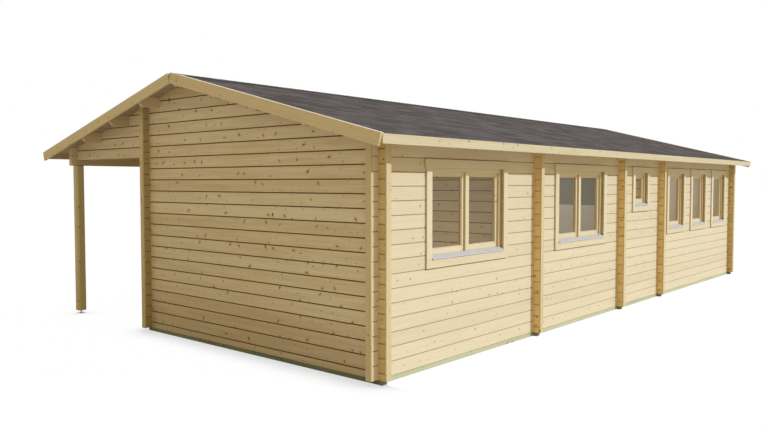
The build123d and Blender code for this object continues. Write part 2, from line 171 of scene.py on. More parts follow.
# Node wiring
class Wiring:
    """Adds nodes to a tree; values may be numbers, colours or other nodes' sockets."""

    def __init__(self, tree):
        self.tree = tree

    def node(self, kind, **settings):
        made = self.tree.nodes.new(kind)
        for name, value in settings.items():
            setattr(made, name, value)
        return made

    def join(self, value, socket):
        if isinstance(value, bpy.types.NodeSocket):
            self.tree.links.new(value, socket)
        elif value is not None:
            socket.default_value = value

    def math(self, operation, a, b=None, c=None):
        made = self.node("ShaderNodeMath", operation=operation)
        for value, socket in zip((a, b, c), made.inputs):
            self.join(value, socket)
        return made.outputs[0]

    def vector(self, x, y, z):
        made = self.node("ShaderNodeCombineXYZ")
        for value, socket in zip((x, y, z), made.inputs):
            self.join(value, socket)
        return made.outputs[0]

    def parts(self, vector):
        made = self.node("ShaderNodeSeparateXYZ")
        self.join(vector, made.inputs[0])
        return made.outputs[0], made.outputs[1], made.outputs[2]

    def ease(self, value, low, high, to_low=0.0, to_high=1.0):
        made = self.node("ShaderNodeMapRange", interpolation_type="SMOOTHSTEP")
        for item, socket in zip((value, low, high, to_low, to_high), made.inputs):
            self.join(item, socket)
        return made.outputs[0]

    def mix(self, share, a, b, blend="MIX"):
        made = self.node("ShaderNodeMix", data_type="RGBA", blend_type=blend)
        self.join(share, made.inputs[0])
        self.join(a, made.inputs[6])
        self.join(b, made.inputs[7])
        return made.outputs[2]

    def noise(self, vector, scale=1.0, detail=2.0, rough=0.5):
        made = self.node("ShaderNodeTexNoise")
        self.join(vector, made.inputs["Vector"])
        self.join(scale, made.inputs["Scale"])
        self.join(detail, made.inputs["Detail"])
        self.join(rough, made.inputs["Roughness"])
        return made.outputs[0]

    def cells(self, vector, scale):
        made = self.node("ShaderNodeTexVoronoi", voronoi_dimensions="2D")
        self.join(vector, made.inputs["Vector"])
        self.join(scale, made.inputs["Scale"])
        return made.outputs["Color"], made.outputs["Position"]

    def chance(self, value):
        made = self.node("ShaderNodeTexWhiteNoise", noise_dimensions="1D")
        self.join(value, made.inputs["W"])
        return made.outputs[0]

    def object_place(self):
        return self.node("ShaderNodeTexCoord").outputs["Object"]

    def attribute(self, name):
        return self.node("ShaderNodeAttribute", attribute_name=name)


def finish_start(name):
    """A new material with its wiring and its shader."""
    material = bpy.data.materials.new(name)
    material.use_nodes = True
    tree = material.node_tree
    return material, Wiring(tree), tree.nodes["Principled BSDF"]


def bump_on(w, shader, height, strength, distance):
    made = w.node("ShaderNodeBump")
    made.inputs["Strength"].default_value = strength
    made.inputs["Distance"].default_value = distance
    w.join(height, made.inputs["Height"])
    w.join(made.outputs[0], shader.inputs["Normal"])


# Wood: its figure, in metres along and across the grain
TONE_ALONG = 43.7
TONE_ACROSS = 9.3
KNOT_CELLS = 8.8
KNOT_SPREAD = 0.80
KNOT_FREE_SHARE = 0.32
KNOT_SMALL = 0.0048
KNOT_LARGE = 0.0165
KNOT_SIZE_POWER = 2.4
KNOT_OVAL = 2.0
KNOT_LEAN = 2.6
KNOT_WOBBLE = 0.010
WOBBLE_SCALE = 70.0
RINGS = 52.0
RING_POWER = 2.6
RING_WAVE = 0.085
RING_BULGE = 0.010
RING_TILT = 0.6
FIBRE_ALONG = 2.2
FIBRE_ACROSS = 240.0
PATCH_ALONG = 1.3
PATCH_ACROSS = 22.0

# How the figure shows: shares of the deep tone, and tints over it
LATE_SHARE = 0.30
PATCH_SHARE = 0.80
FIBRE_SHARE = 0.45
TONE_SHARE = 0.30
USUAL_SHARE = 0.475
HALO_SHARE = 0.40
CORE_SHARE = 0.92
HALO_TINT = (0.86, 0.68, 0.50)
CORE_DARK = (0.058, 0.030, 0.012, 1.0)
GROOVE_DARK = (0.135, 0.060, 0.003, 1.0)
# Painted shade that darkens the lowest logs towards the ground: its tint and the height where it stops
LOW_SHADE_TINT = (0.89, 0.89, 0.95, 1.0)
LOW_SHADE_TOP = 0.75
WALL_MARGIN = 0.01
PINE_SHEEN = 0.22
PINE_SMOOTH = 0.50
PINE_ROUGH = 0.66
PINE_BUMP = 0.25
PINE_BUMP_DEEP = 0.0012

# What sets one log's tone apart from the next: its course and the wall it lies in
WALL_SHIFT = 20.4
WALLS_A_METRE = 2.0
COURSE_STEP = 1.37
WALL_STEP = 0.613


def pine_figure():
    """Figure of planed pine: growth rings, fibre, knots. Grain runs along the vector's first part."""
    tree = bpy.data.node_groups.new("pine_figure", "ShaderNodeTree")
    tree.interface.new_socket("Grain", in_out="INPUT", socket_type="NodeSocketVector")
    tree.interface.new_socket("Tone", in_out="INPUT", socket_type="NodeSocketFloat")
    tree.interface.new_socket("Knot Size", in_out="INPUT", socket_type="NodeSocketFloat")
    for name in ("Late", "Patch", "Core", "Halo", "Fibre"):
        tree.interface.new_socket(name, in_out="OUTPUT", socket_type="NodeSocketFloat")
    w = Wiring(tree)
    given = w.node("NodeGroupInput")
    shown = w.node("NodeGroupOutput")
    along, across, deep = w.parts(given.outputs["Grain"])
    tone = given.outputs["Tone"]
    along = w.math("ADD", along, w.math("MULTIPLY", tone, TONE_ALONG))
    across = w.math("ADD", across, w.math("MULTIPLY", tone, TONE_ACROSS))
    # knots: an oval in some of the cells, leaning one way or the other
    wobble = w.math("SUBTRACT", w.noise(w.vector(along, across, deep), WOBBLE_SCALE, 2.0), 0.5)
    knot_along = w.math("ADD", along, w.math("MULTIPLY", wobble, KNOT_WOBBLE))
    knot_across = w.math("ADD", across, w.math("MULTIPLY", wobble, -KNOT_WOBBLE))
    cell_place = w.vector(w.math("MULTIPLY", knot_along, KNOT_SPREAD), knot_across, 0.0)
    colour, spot = w.cells(cell_place, KNOT_CELLS)
    pick, size, turn = w.parts(colour)
    spot_along = w.math("DIVIDE", w.parts(spot)[0], KNOT_SPREAD)
    spot_across = w.parts(spot)[1]
    off_along = w.math("SUBTRACT", knot_along, spot_along)
    off_across = w.math("SUBTRACT", knot_across, spot_across)
    angle = w.math("MULTIPLY", w.math("SUBTRACT", turn, 0.5), KNOT_LEAN)
    cosine = w.math("COSINE", angle)
    sine = w.math("SINE", angle)
    length = w.math("ADD", w.math("MULTIPLY", off_along, cosine), w.math("MULTIPLY", off_across, sine))
    breadth = w.math("SUBTRACT", w.math("MULTIPLY", off_across, cosine), w.math("MULTIPLY", off_along, sine))
    breadth = w.math("MULTIPLY", breadth, KNOT_OVAL)
    squares = w.math("ADD", w.math("MULTIPLY", length, length), w.math("MULTIPLY", breadth, breadth))
    distance = w.math("SQRT", squares)
    there = w.math("GREATER_THAN", pick, KNOT_FREE_SHARE)
    radius = w.ease(w.math("POWER", size, KNOT_SIZE_POWER), 0.0, 1.0, KNOT_SMALL, KNOT_LARGE)
    reach = w.math("DIVIDE", distance, w.math("MULTIPLY", radius, given.outputs["Knot Size"]))
    core = w.math("MULTIPLY", w.ease(reach, 0.70, 1.15, 1.0, 0.0), there)
    core = w.math("MULTIPLY", core, w.ease(pick, KNOT_FREE_SHARE, 1.0, 0.66, 1.0))
    halo = w.math("MULTIPLY", w.ease(reach, 0.9, 3.4, 1.0, 0.0), there)
    # growth rings bend round the knots
    bend_place = w.vector(w.math("MULTIPLY", along, 0.9), w.math("MULTIPLY", across, 5.0), deep)
    bend = w.noise(bend_place, 1.0, 2.0)
    ring = w.math("ADD", across, w.math("MULTIPLY", bend, RING_WAVE))
    ring = w.math("ADD", ring, w.math("MULTIPLY", halo, RING_BULGE))
    ring = w.math("ADD", ring, w.math("MULTIPLY", deep, RING_TILT))
    late = w.math("FRACT", w.math("MULTIPLY", ring, RINGS))
    late = w.math("MULTIPLY", w.math("POWER", late, RING_POWER), w.ease(late, 0.93, 1.0, 1.0, 0.0))

    def streaks(scale_along, scale_across):
        """Soft noise drawn out along the grain."""
        run = w.math("MULTIPLY", along, scale_along)
        rise = w.math("MULTIPLY", across, scale_across)
        lines = w.vector(run, rise, w.math("MULTIPLY", deep, scale_across))
        return w.noise(lines, 1.0, 3.0, 0.6)

    fibre = streaks(FIBRE_ALONG, FIBRE_ACROSS)
    patch = streaks(PATCH_ALONG, PATCH_ACROSS)
    for name, socket in (("Late", late), ("Patch", patch), ("Core", core), ("Halo", halo), ("Fibre", fibre)):
        w.join(socket, shown.inputs[name])
    return tree


FIGURE = pine_figure()


def pine(name, place, light, deep_tone, contrast=1.0, groove=None, knots=1.0, ends=None, low_shade=False):
    """Planed pine. place wires the grain vector and the piece's own tone, groove the line between logs.

    contrast is how far the figure stands out and knots their size. ends is a function that finds some
    faces and the tint that paints light or shade on them, and the last argument paints shade on the lowest
    logs.
    """
    material, w, shader = finish_start(name)
    grain, tone = place(w)
    figure = w.node("ShaderNodeGroup", node_tree=FIGURE)
    w.join(grain, figure.inputs["Grain"])
    w.join(tone, figure.inputs["Tone"])
    w.join(knots, figure.inputs["Knot Size"])
    late, patch, core, halo, fibre = (figure.outputs[i] for i in range(5))
    share = w.math("ADD", w.math("MULTIPLY", late, LATE_SHARE), w.math("MULTIPLY", patch, PATCH_SHARE))
    share = w.math("ADD", share, w.math("MULTIPLY", w.math("SUBTRACT", fibre, 0.5), FIBRE_SHARE))
    share = w.math("ADD", share, w.math("MULTIPLY", w.math("SUBTRACT", w.chance(tone), 0.5), TONE_SHARE))
    share = w.math("MULTIPLY_ADD", w.math("SUBTRACT", share, USUAL_SHARE), contrast, USUAL_SHARE)
    share = w.ease(share, 0.05, 0.95)
    colour = w.mix(share, light, deep_tone)
    warm = tuple(part * tint for part, tint in zip(deep_tone, HALO_TINT)) + (1.0,)
    colour = w.mix(w.math("MULTIPLY", halo, HALO_SHARE * contrast), colour, warm)
    colour = w.mix(w.math("MULTIPLY", core, CORE_SHARE), colour, CORE_DARK)
    if groove is not None:
        colour = w.mix(groove(w), colour, GROOVE_DARK)
    # painted shade on the lowest logs, kept off the log ends
    if low_shade:
        z = w.parts(w.object_place())[2]
        wall = w.math("SUBTRACT", 1.0, log_ends(w))
        low_shade_share = w.math("MULTIPLY", w.ease(z, 0.0, LOW_SHADE_TOP, 1.0, 0.0), wall)
        colour = w.mix(low_shade_share, colour, LOW_SHADE_TINT, "MULTIPLY")
    # painted light or shade on the faces that ends finds
    if ends is not None:
        where, tint = ends
        colour = w.mix(where(w), colour, tint, "MULTIPLY")
    w.join(colour, shader.inputs["Base Color"])
    w.join(w.ease(fibre, 0.2, 0.8, PINE_SMOOTH, PINE_ROUGH), shader.inputs["Roughness"])
    shader.inputs["Specular IOR Level"].default_value = PINE_SHEEN
    height = w.math("ADD", w.math("MULTIPLY", late, 0.5), w.math("MULTIPLY", fibre, 0.5))
    height = w.math("SUBTRACT", height, w.math("MULTIPLY", core, 0.6))
    bump_on(w, shader, height, PINE_BUMP, PINE_BUMP_DEEP)
    return material


def course_level(w, z, shift):
    """Height in courses above the bearers."""
    return w.math("SUBTRACT", w.math("DIVIDE", w.math("SUBTRACT", z, BEARER_TOP), COURSE), shift)


def log_place(along_x, shift):
    """Grain of stacked logs from the place on the wall, a new figure for every log."""
    def place(w):
        x, y, z = w.parts(w.object_place())
        number = w.math("FLOOR", course_level(w, z, shift))
        run, face = (x, y) if along_x else (y, x)
        wall = w.math("FLOOR", w.math("MULTIPLY", w.math("ADD", face, WALL_SHIFT), WALLS_A_METRE))
        mark = w.math("ADD", w.math("MULTIPLY", number, COURSE_STEP), w.math("MULTIPLY", wall, WALL_STEP))
        return w.vector(run, z, face), w.chance(mark)
    return place


def log_groove(shift, depth, wide, end_depth=None):
    """Dark line in the joint between two courses, fainter on the log ends if given."""
    def groove(w):
        level = course_level(w, w.parts(w.object_place())[2], shift)
        off = w.math("ABSOLUTE", w.math("SUBTRACT", level, w.math("ROUND", level)))
        strength = depth
        if end_depth is not None:
            strength = w.ease(log_ends(w), 0.0, 1.0, depth, end_depth)
        return w.ease(w.math("MULTIPLY", off, COURSE), 0.35 * wide, wide, strength, 0.0)
    return groove


def log_ends(w):
    """Where the cross logs stand out past the front wall and the porch beam."""
    y = w.parts(w.object_place())[1]
    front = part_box("front_wall_lower_logs")[0][1]
    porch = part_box("porch_beam")[1][1]
    return w.math("MAXIMUM", w.math("LESS_THAN", y, front), w.math("GREATER_THAN", y, porch))


def porch_wall_ends(w):
    """Where the porch wall stands out past the gables, out of the light: faces that take a painted shade."""
    place = w.parts(w.object_place())
    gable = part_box("near_gable_wall")[0][0]
    low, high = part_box("porch_wall_upper_logs")
    past = w.math("GREATER_THAN", w.math("ABSOLUTE", place[0]), -gable)
    behind = w.math("GREATER_THAN", place[1], low[1] - WALL_MARGIN)
    before = w.math("LESS_THAN", place[1], high[1] + WALL_MARGIN)
    return w.math("MULTIPLY", past, w.math("MULTIPLY", behind, before))


def board_place(w):
    """Grain and tone that a board carries in its own attributes."""
    return w.attribute("grain").outputs["Vector"], w.attribute("tone").outputs["Fac"]


def side_faces(w):
    """Faces of a board that look along the wall, as its attribute says."""
    return w.attribute("side").outputs["Fac"]


LOG_LIGHT = (0.770, 0.642, 0.365, 1.0)
LOG_DEEP = (0.610, 0.465, 0.218, 1.0)
JOINERY_LIGHT = (0.752, 0.634, 0.348, 1.0)
JOINERY_DEEP = (0.634, 0.502, 0.248, 1.0)
long_groove = log_groove(shift=0.0, depth=0.60, wide=0.0055)
cross_groove = log_groove(shift=0.5, depth=0.98, wide=0.0089, end_depth=0.42)
long_place = log_place(along_x=True, shift=0.0)
cross_place = log_place(along_x=False, shift=0.5)
# painted shade on the porch wall's ends past the gables
log_long = pine("long_logs", long_place, LOG_LIGHT, LOG_DEEP, contrast=0.45, groove=long_groove, knots=0.80,
                ends=(porch_wall_ends, (0.64, 0.59, 0.45, 1.0)))
# painted warm shade on the gable logs' ends, and painted shade on the lowest logs
log_gable = pine("gable_logs", cross_place, LOG_LIGHT, LOG_DEEP, contrast=1.35, groove=cross_groove,
                 knots=1.12, ends=(log_ends, (0.98, 0.87, 0.64, 1.0)), low_shade=True)
# painted bounce light on the cross logs' ends past the walls
log_cross = pine("cross_logs", cross_place, LOG_LIGHT, LOG_DEEP, groove=cross_groove,
                 ends=(log_ends, (1.18, 1.03, 0.70, 1.0)))
trim_pine = pine("trim_pine", board_place, (0.695, 0.556, 0.266, 1.0), (0.566, 0.417, 0.173, 1.0),
                 contrast=0.8, knots=0.8)
purlin_pine = pine("purlin_pine", board_place, (0.700, 0.565, 0.310, 1.0), (0.565, 0.422, 0.205, 1.0))
joinery_pine = pine("joinery_pine", board_place, JOINERY_LIGHT, JOINERY_DEEP, contrast=0.8, knots=0.5)
# a copy of joinery_pine with painted shade on the faces that look along the wall
shaded_reveal_pine = pine("shaded_reveal_pine", board_place, JOINERY_LIGHT, JOINERY_DEEP, contrast=0.8, knots=0.5,
                   ends=(side_faces, (0.95, 0.84, 0.62, 1.0)))
fascia_pine = pine("fascia_pine", board_place, (0.635, 0.528, 0.268, 1.0), (0.517, 0.396, 0.174, 1.0),
                   contrast=0.8, knots=0.8)
# paler than the other pine: a painted highlight along the top of the verge laths
verge_highlight_pine = pine("verge_highlight_pine", board_place, (0.900, 0.800, 0.580, 1.0), (0.800, 0.680, 0.440, 1.0),
                 contrast=0.8, knots=0.5)
roof_pine = pine("roof_pine", board_place, (0.430, 0.340, 0.195, 1.0), (0.330, 0.248, 0.132, 1.0))
floor_pine = pine("floor_pine", board_place, (0.640, 0.500, 0.300, 1.0), (0.500, 0.370, 0.200, 1.0))
# one impregnated finish in a lit and a shaded copy: painted light on the long bearers, painted shade on the
# cross ones
bearer_painted_light = pine("bearer_painted_light", board_place, (0.550, 0.520, 0.270, 1.0), (0.420, 0.405, 0.190, 1.0),
                   contrast=1.1)
bearer_painted_shade = pine("bearer_painted_shade", board_place, (0.225, 0.230, 0.118, 1.0), (0.135, 0.145, 0.068, 1.0),
                   contrast=1.1)


# Felt, glass, metal
FELT_DARK = (0.077, 0.064, 0.050, 1.0)
FELT_PALE = (0.165, 0.138, 0.108, 1.0)
FELT_SHEEN = 0.04
GRIT_SCALE = 420.0
STAIN_SCALE = 1.3
TAB_TONE_SHARE = 0.46
GRIT_SHARE = 0.40
STAIN_SHARE = 0.5
GLASS_CLEAN = (0.40, 0.36, 0.24, 1.0)
GLASS_DUSTY = (0.46, 0.41, 0.28, 1.0)
GLASS_ALPHA = 0.09
GLASS_IOR = 1.5
DUST_SCALE = 9.0
CLOUD_SCALE = 26.0
FINE_SCALE = 300.0


def felt_finish():
    """Mineral-coated felt: every shingle a little lighter or darker, grit all over."""
    material, w, shader = finish_start("shingle_felt")
    tone = w.attribute("tone").outputs["Fac"]
    place = w.object_place()
    grit = w.noise(place, GRIT_SCALE, 2.0, 0.7)
    stain = w.noise(place, STAIN_SCALE, 3.0)
    share = w.math("ADD", w.math("MULTIPLY", tone, TAB_TONE_SHARE), w.math("MULTIPLY", grit, GRIT_SHARE))
    share = w.math("ADD", share, w.math("MULTIPLY", w.math("SUBTRACT", stain, 0.5), STAIN_SHARE))
    w.join(w.mix(w.ease(share, 0.0, 1.0), FELT_DARK, FELT_PALE), shader.inputs["Base Color"])
    w.join(w.ease(grit, 0.2, 0.8, 0.82, 0.97), shader.inputs["Roughness"])
    shader.inputs["Specular IOR Level"].default_value = FELT_SHEEN
    bump_on(w, shader, grit, 0.5, 0.0015)
    return material


def glass_finish():
    """Clear pane with a faint warm tint and a few dust marks."""
    material, w, shader = finish_start("window_pane")
    dust = w.noise(w.object_place(), DUST_SCALE, 3.0)
    w.join(w.mix(dust, GLASS_CLEAN, GLASS_DUSTY), shader.inputs["Base Color"])
    w.join(w.ease(dust, 0.3, 0.8, 0.015, 0.05), shader.inputs["Roughness"])
    shader.inputs["Alpha"].default_value = GLASS_ALPHA
    shader.inputs["IOR"].default_value = GLASS_IOR
    return material


def metal_finish(name, low, high, metallic, rough):
    """Metal or paint with a soft cloudy surface."""
    material, w, shader = finish_start(name)
    place = w.object_place()
    cloud = w.noise(place, CLOUD_SCALE, 3.0, 0.6)
    fine = w.noise(place, FINE_SCALE, 2.0)
    w.join(w.mix(w.ease(cloud, 0.3, 0.7), low, high), shader.inputs["Base Color"])
    w.join(w.ease(fine, 0.2, 0.8, rough - 0.07, rough + 0.08), shader.inputs["Roughness"])
    shader.inputs["Metallic"].default_value = metallic
    bump_on(w, shader, fine, 0.12, 0.0004)
    return material


felt = felt_finish()
pane = glass_finish()
sill_paint = metal_finish("sill_paint", (0.520, 0.480, 0.390, 1.0), (0.590, 0.545, 0.440, 1.0),
                          metallic=0.0, rough=0.42)
zinc = metal_finish("galvanized_steel", (0.420, 0.425, 0.430, 1.0), (0.600, 0.605, 0.610, 1.0),
                    metallic=1.0, rough=0.42)
screw_zinc = metal_finish("screw_steel", (0.300, 0.285, 0.250, 1.0), (0.420, 0.400, 0.350, 1.0),
                          metallic=1.0, rough=0.40)
lining_dark = metal_finish("lining_dark", (0.190, 0.195, 0.152, 1.0), (0.215, 0.220, 0.172, 1.0),
                           metallic=0.0, rough=0.60)
lining_grey = metal_finish("lining_grey", (0.592, 0.525, 0.400, 1.0), (0.634, 0.562, 0.428, 1.0),
                           metallic=0.0, rough=0.60)
lining_light = metal_finish("lining_light", (0.670, 0.675, 0.610, 1.0), (0.710, 0.715, 0.645, 1.0),
                            metallic=0.0, rough=0.60)


# Mesh helpers
def place_piece(name, bm, material, nodes=()):
    """Turns a mesh into a piece of the cabin, in place of the CAD nodes named."""
    mesh = bpy.data.meshes.new(name)
    bm.to_mesh(mesh)
    bm.free()
    keep_piece(name, mesh, material, nodes)


def keep_piece(name, mesh, material, nodes=()):
    """Puts a mesh in the scene and says what it rides on, replaces and is made of."""
    piece = bpy.data.objects.new(name, mesh)
    bpy.context.scene.collection.objects.link(piece)
    if material is not None:
        mesh.materials.clear()
        mesh.materials.append(material)
    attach(piece, "root")
    if nodes:
        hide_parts(*nodes)


def solids_of(node):
    """The separate solids of a CAD node, each as a welded mesh with whole flat faces."""
    source = bmesh.new()
    source.from_mesh(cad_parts[node].data)
    bmesh.ops.remove_doubles(source, verts=source.verts, dist=SMALLEST)
    source.faces.index_update()
    seen = set()
    found = []
    for start in source.verts:
        if start in seen:
            continue
        seen.add(start)
        group = [start]
        # the list grows while it is walked, until the solid has no more corners
        for vert in group:
            for link in vert.link_edges:
                other = link.other_vert(vert)
                if other not in seen:
                    seen.add(other)
                    group.append(other)
        solid = bmesh.new()
        twins = {vert: solid.verts.new(vert.co) for vert in group}
        faces = {face.index: face for vert in group for face in vert.link_faces}
        for number in sorted(faces):
            solid.faces.new([twins[vert] for vert in faces[number].verts])
        bmesh.ops.dissolve_limit(solid, angle_limit=FLAT_ANGLE, verts=solid.verts, edges=solid.edges)
        found.append(solid)
    source.free()
    return sorted(found, key=lambda b: tuple(round(c, 3) for c in extent(b)[0]))


def extent(bm):
    """Lowest and highest corner of a mesh."""
    points = [vert.co for vert in bm.verts]
    low = Vector(min(p[i] for p in points) for i in range(3))
    high = Vector(max(p[i] for p in points) for i in range(3))
    return low, high


def block(low, high):
    """A plain block as a mesh."""
    solid = bmesh.new()
    bmesh.ops.create_cube(solid, size=1.0)
    size = Vector(high) - Vector(low)
    middle = (Vector(high) + Vector(low)) / 2
    for vert in solid.verts:
        vert.co = Vector(c * s for c, s in zip(vert.co, size)) + middle
    return solid


def ease_edges(solid, ease, segments=2):
    """Rounds the sharp edges of a solid."""
    sharp = [e for e in solid.edges if len(e.link_faces) == 2 and e.calc_face_angle(0) > SHARP_ANGLE]
    bmesh.ops.bevel(solid, geom=sharp, offset=ease, segments=segments, profile=0.5, affect="EDGES",
                    clamp_overlap=True)


class Joinery:
    """Gathers planed boards, each with eased edges and its own grain, into one piece."""

    def __init__(self, seed):
        self.bm = bmesh.new()
        self.grain = self.bm.verts.layers.float_vector.new("grain")
        self.tone = self.bm.verts.layers.float.new("tone")
        self.side = self.bm.faces.layers.float.new("side")
        self.chance = random.Random(seed)

    def board(self, solid, ease, along=None):
        """Adds one solid. along is the way its grain runs, its longest side if left out."""
        low, high = extent(solid)
        size = high - low
        if along is None:
            along = Vector((0, 0, 0))
            along[max(range(3), key=lambda i: size[i])] = 1
        along = Vector(along).normalized()
        side = UP
        if abs(along.z) >= STANDING_SHARE:
            side = Vector((1, 0, 0)) if size.x > size.y else Vector((0, 1, 0))
        across = (side - along * side.dot(along)).normalized()
        deep = along.cross(across)
        ease_edges(solid, ease)
        tone = self.chance.random()
        middle = (low + high) / 2
        twins = {}
        for vert in solid.verts:
            twin = self.bm.verts.new(vert.co)
            at = vert.co - middle
            twin[self.grain] = Vector((at.dot(along), at.dot(across), at.dot(deep)))
            twin[self.tone] = tone
            twins[vert] = twin
        solid.normal_update()
        for face in solid.faces:
            twin = self.bm.faces.new([twins[vert] for vert in face.verts])
            twin[self.side] = abs(face.normal.x)
        solid.free()

    def piece(self, name, material, slot, nodes):
        place_piece(name, self.bm, material, nodes)


def timber(name, seed, material, slot, nodes, ease, along=None):
    """One piece from all the solids of some CAD nodes. along may depend on a solid's middle."""
    work = Joinery(seed)
    for node in nodes:
        for solid in solids_of(node):
            low, high = extent(solid)
            way = along((low + high) / 2) if callable(along) else along
            work.board(solid, ease, way)
    work.piece(name, material, slot, nodes)


# Log walls keep their CAD form and take the pine finish
def log_walls():
    for node in ("front_wall_lower_logs", "front_wall_pier_logs", "front_wall_upper_logs",
                 "porch_wall_pier_logs", "porch_wall_upper_logs", "porch_beam"):
        dress(node, log_long)
    for node in ("near_gable_wall", "near_gable_top", "far_gable_wall", "far_gable_top"):
        dress(node, log_gable)
    for node in ("room_walls", "room_wall_tops"):
        dress(node, log_cross)


def dress(node, material):
    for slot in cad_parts[node].material_slots:
        slot.material = material


# Bearers and floor
def bearers():
    """Impregnated timber: painted light makes it pale along the walls, painted shade darker below the cross
    walls and the floor.
    """
    timber("long_beams", 11, bearer_painted_light, "bearer_wood", ("long_bearers",), EASE_BOARD)
    timber("cross_beams", 10, bearer_painted_shade, "bearer_wood", ("cross_bearers", "floor_joists"), EASE_BOARD)


def floor():
    """Floor boards laid along each room."""
    work = Joinery(12)
    for room in solids_of("floor_boards"):
        low, high = extent(room)
        count = round((high.y - low.y) / FLOOR_BOARD)
        wide = (high.y - low.y) / count
        for k in range(count):
            y = low.y + k * wide
            board = block((low.x, y + BOARD_GAP, low.z), (high.x, y + wide - BOARD_GAP, high.z))
            work.board(board, EASE_FLOOR)
        room.free()
    work.piece("floor_planks", floor_pine, "floor_wood", ("floor_boards",))


# Porch
def posts():
    timber("posts", 13, trim_pine, "log_wood", ("porch_posts",), EASE_FRAME)


def post_feet():
    """Adjustable feet: base plate, threaded rod with nuts, top plate."""
    ridge = [(ROD_CORE, 0.0), (ROD_CREST, 0.25), (ROD_CREST, 0.5), (ROD_CORE, 0.75)]
    nut = [(0.0, 0.0), (NUT_FACE, 0.0), (NUT_RADIUS, NUT_CHAMFER), (NUT_RADIUS, NUT_HIGH - NUT_CHAMFER),
           (NUT_FACE, NUT_HIGH), (0.0, NUT_HIGH)]
    bm = bmesh.new()
    for foot in solids_of("post_feet"):
        low, high = extent(foot)
        x = (low.x + high.x) / 2
        y = (low.y + high.y) / 2
        half = (high.x - low.x) / 2
        rod_foot = low.z + PLATE_THICK
        rod_head = high.z - PLATE_THICK
        for z0, z1 in ((low.z, rod_foot), (rod_head, high.z)):
            plate = block((x - half, y - half, z0), (x + half, y + half, z1))
            ease_edges(plate, EASE_PLATE)
            absorb(bm, plate)
        step = (rod_head - rod_foot) / ROD_TURNS
        thread = [(r, rod_foot + (k + share) * step) for k in range(ROD_TURNS) for r, share in ridge]
        lathe(bm, x, y, thread, ROD_SIDES)
        for z0 in (rod_foot, rod_head - NUT_HIGH):
            lathe(bm, x, y, [(r, z0 + z) for r, z in nut], NUT_SIDES)
        foot.free()
    place_piece("feet", bm, zinc, ("post_feet",))


def absorb(bm, other):
    """Moves one mesh into another."""
    twins = {vert: bm.verts.new(vert.co) for vert in other.verts}
    for face in other.faces:
        bm.faces.new([twins[vert] for vert in face.verts])
    other.free()


def lathe(bm, x, y, profile, sides):
    """A turned solid round a vertical line from (radius, height) pairs, closed at both ends."""
    turns = [2 * math.pi * k / sides for k in range(sides)]
    rings = []
    for radius, z in profile:
        wide = max(radius, SMALLEST)
        rings.append([bm.verts.new((x + wide * math.cos(a), y + wide * math.sin(a), z)) for a in turns])
    for low, high in zip(rings, rings[1:]):
        for k in range(sides):
            bm.faces.new((low[k], low[(k + 1) % sides], high[(k + 1) % sides], high[k]))
    bm.faces.new(list(reversed(rings[0])))
    bm.faces.new(rings[-1])


# Roof timber
def down_slope(middle):
    """The way down the slope at a place on the roof."""
    return (0, math.cos(PITCH) * (1 if middle.y > 0 else -1), -math.sin(PITCH))


def purlins():
    nodes = ("ridge_purlin", "front_purlins", "porch_purlins")
    timber("purlins", 14, purlin_pine, "roof_wood", nodes, EASE_FRAME)


def ridge_halves(solid):
    """The two boards of a pair that meets at the ridge."""
    for side in (-1, 1):
        half = solid.copy()
        geom = half.verts[:] + half.edges[:] + half.faces[:]
        bmesh.ops.bisect_plane(half, geom=geom, dist=SMALLEST, plane_co=(0, 0, 0), plane_no=(0, -side, 0),
                               clear_outer=True)
        bmesh.ops.recalc_face_normals(half, faces=half.faces[:])
        yield half
    solid.free()


def barge_boards():
    for end, seed in (("near", 15), ("far", 16)):
        node = end + "_barge_boards"
        work = Joinery(seed)
        for solid in solids_of(node):
            for half in ridge_halves(solid):
                low, high = extent(half)
                work.board(half, EASE_BOARD, down_slope((low + high) / 2))
        work.piece(end + "_barges", trim_pine, "trim_wood", (node,))


def verge_laths():
    timber("verge_lath_boards", 20, verge_highlight_pine, "trim_wood", ("verge_laths",), EASE_LATH, down_slope)


def fascias():
    for side, seed in (("front", 17), ("porch", 18)):
        timber(side + "_fascia_board", seed, fascia_pine, "trim_wood", (side + "_fascia",), EASE_BOARD)


def end_boards():
    nodes = ("front_end_boards", "porch_end_boards", "gable_end_boards")
    timber("log_end_boards", 19, trim_pine, "trim_wood", nodes, EASE_FRAME, UP)


def close_prism(bm, near, far):
    """Faces between two like outlines, and over both ends."""
    count = len(near)
    for k in range(count):
        after = (k + 1) % count
        bm.faces.new((near[k], far[k], far[after], near[after]))
    bm.faces.new(near)
    bm.faces.new(list(reversed(far)))
    bmesh.ops.recalc_face_normals(bm, faces=bm.faces[:])


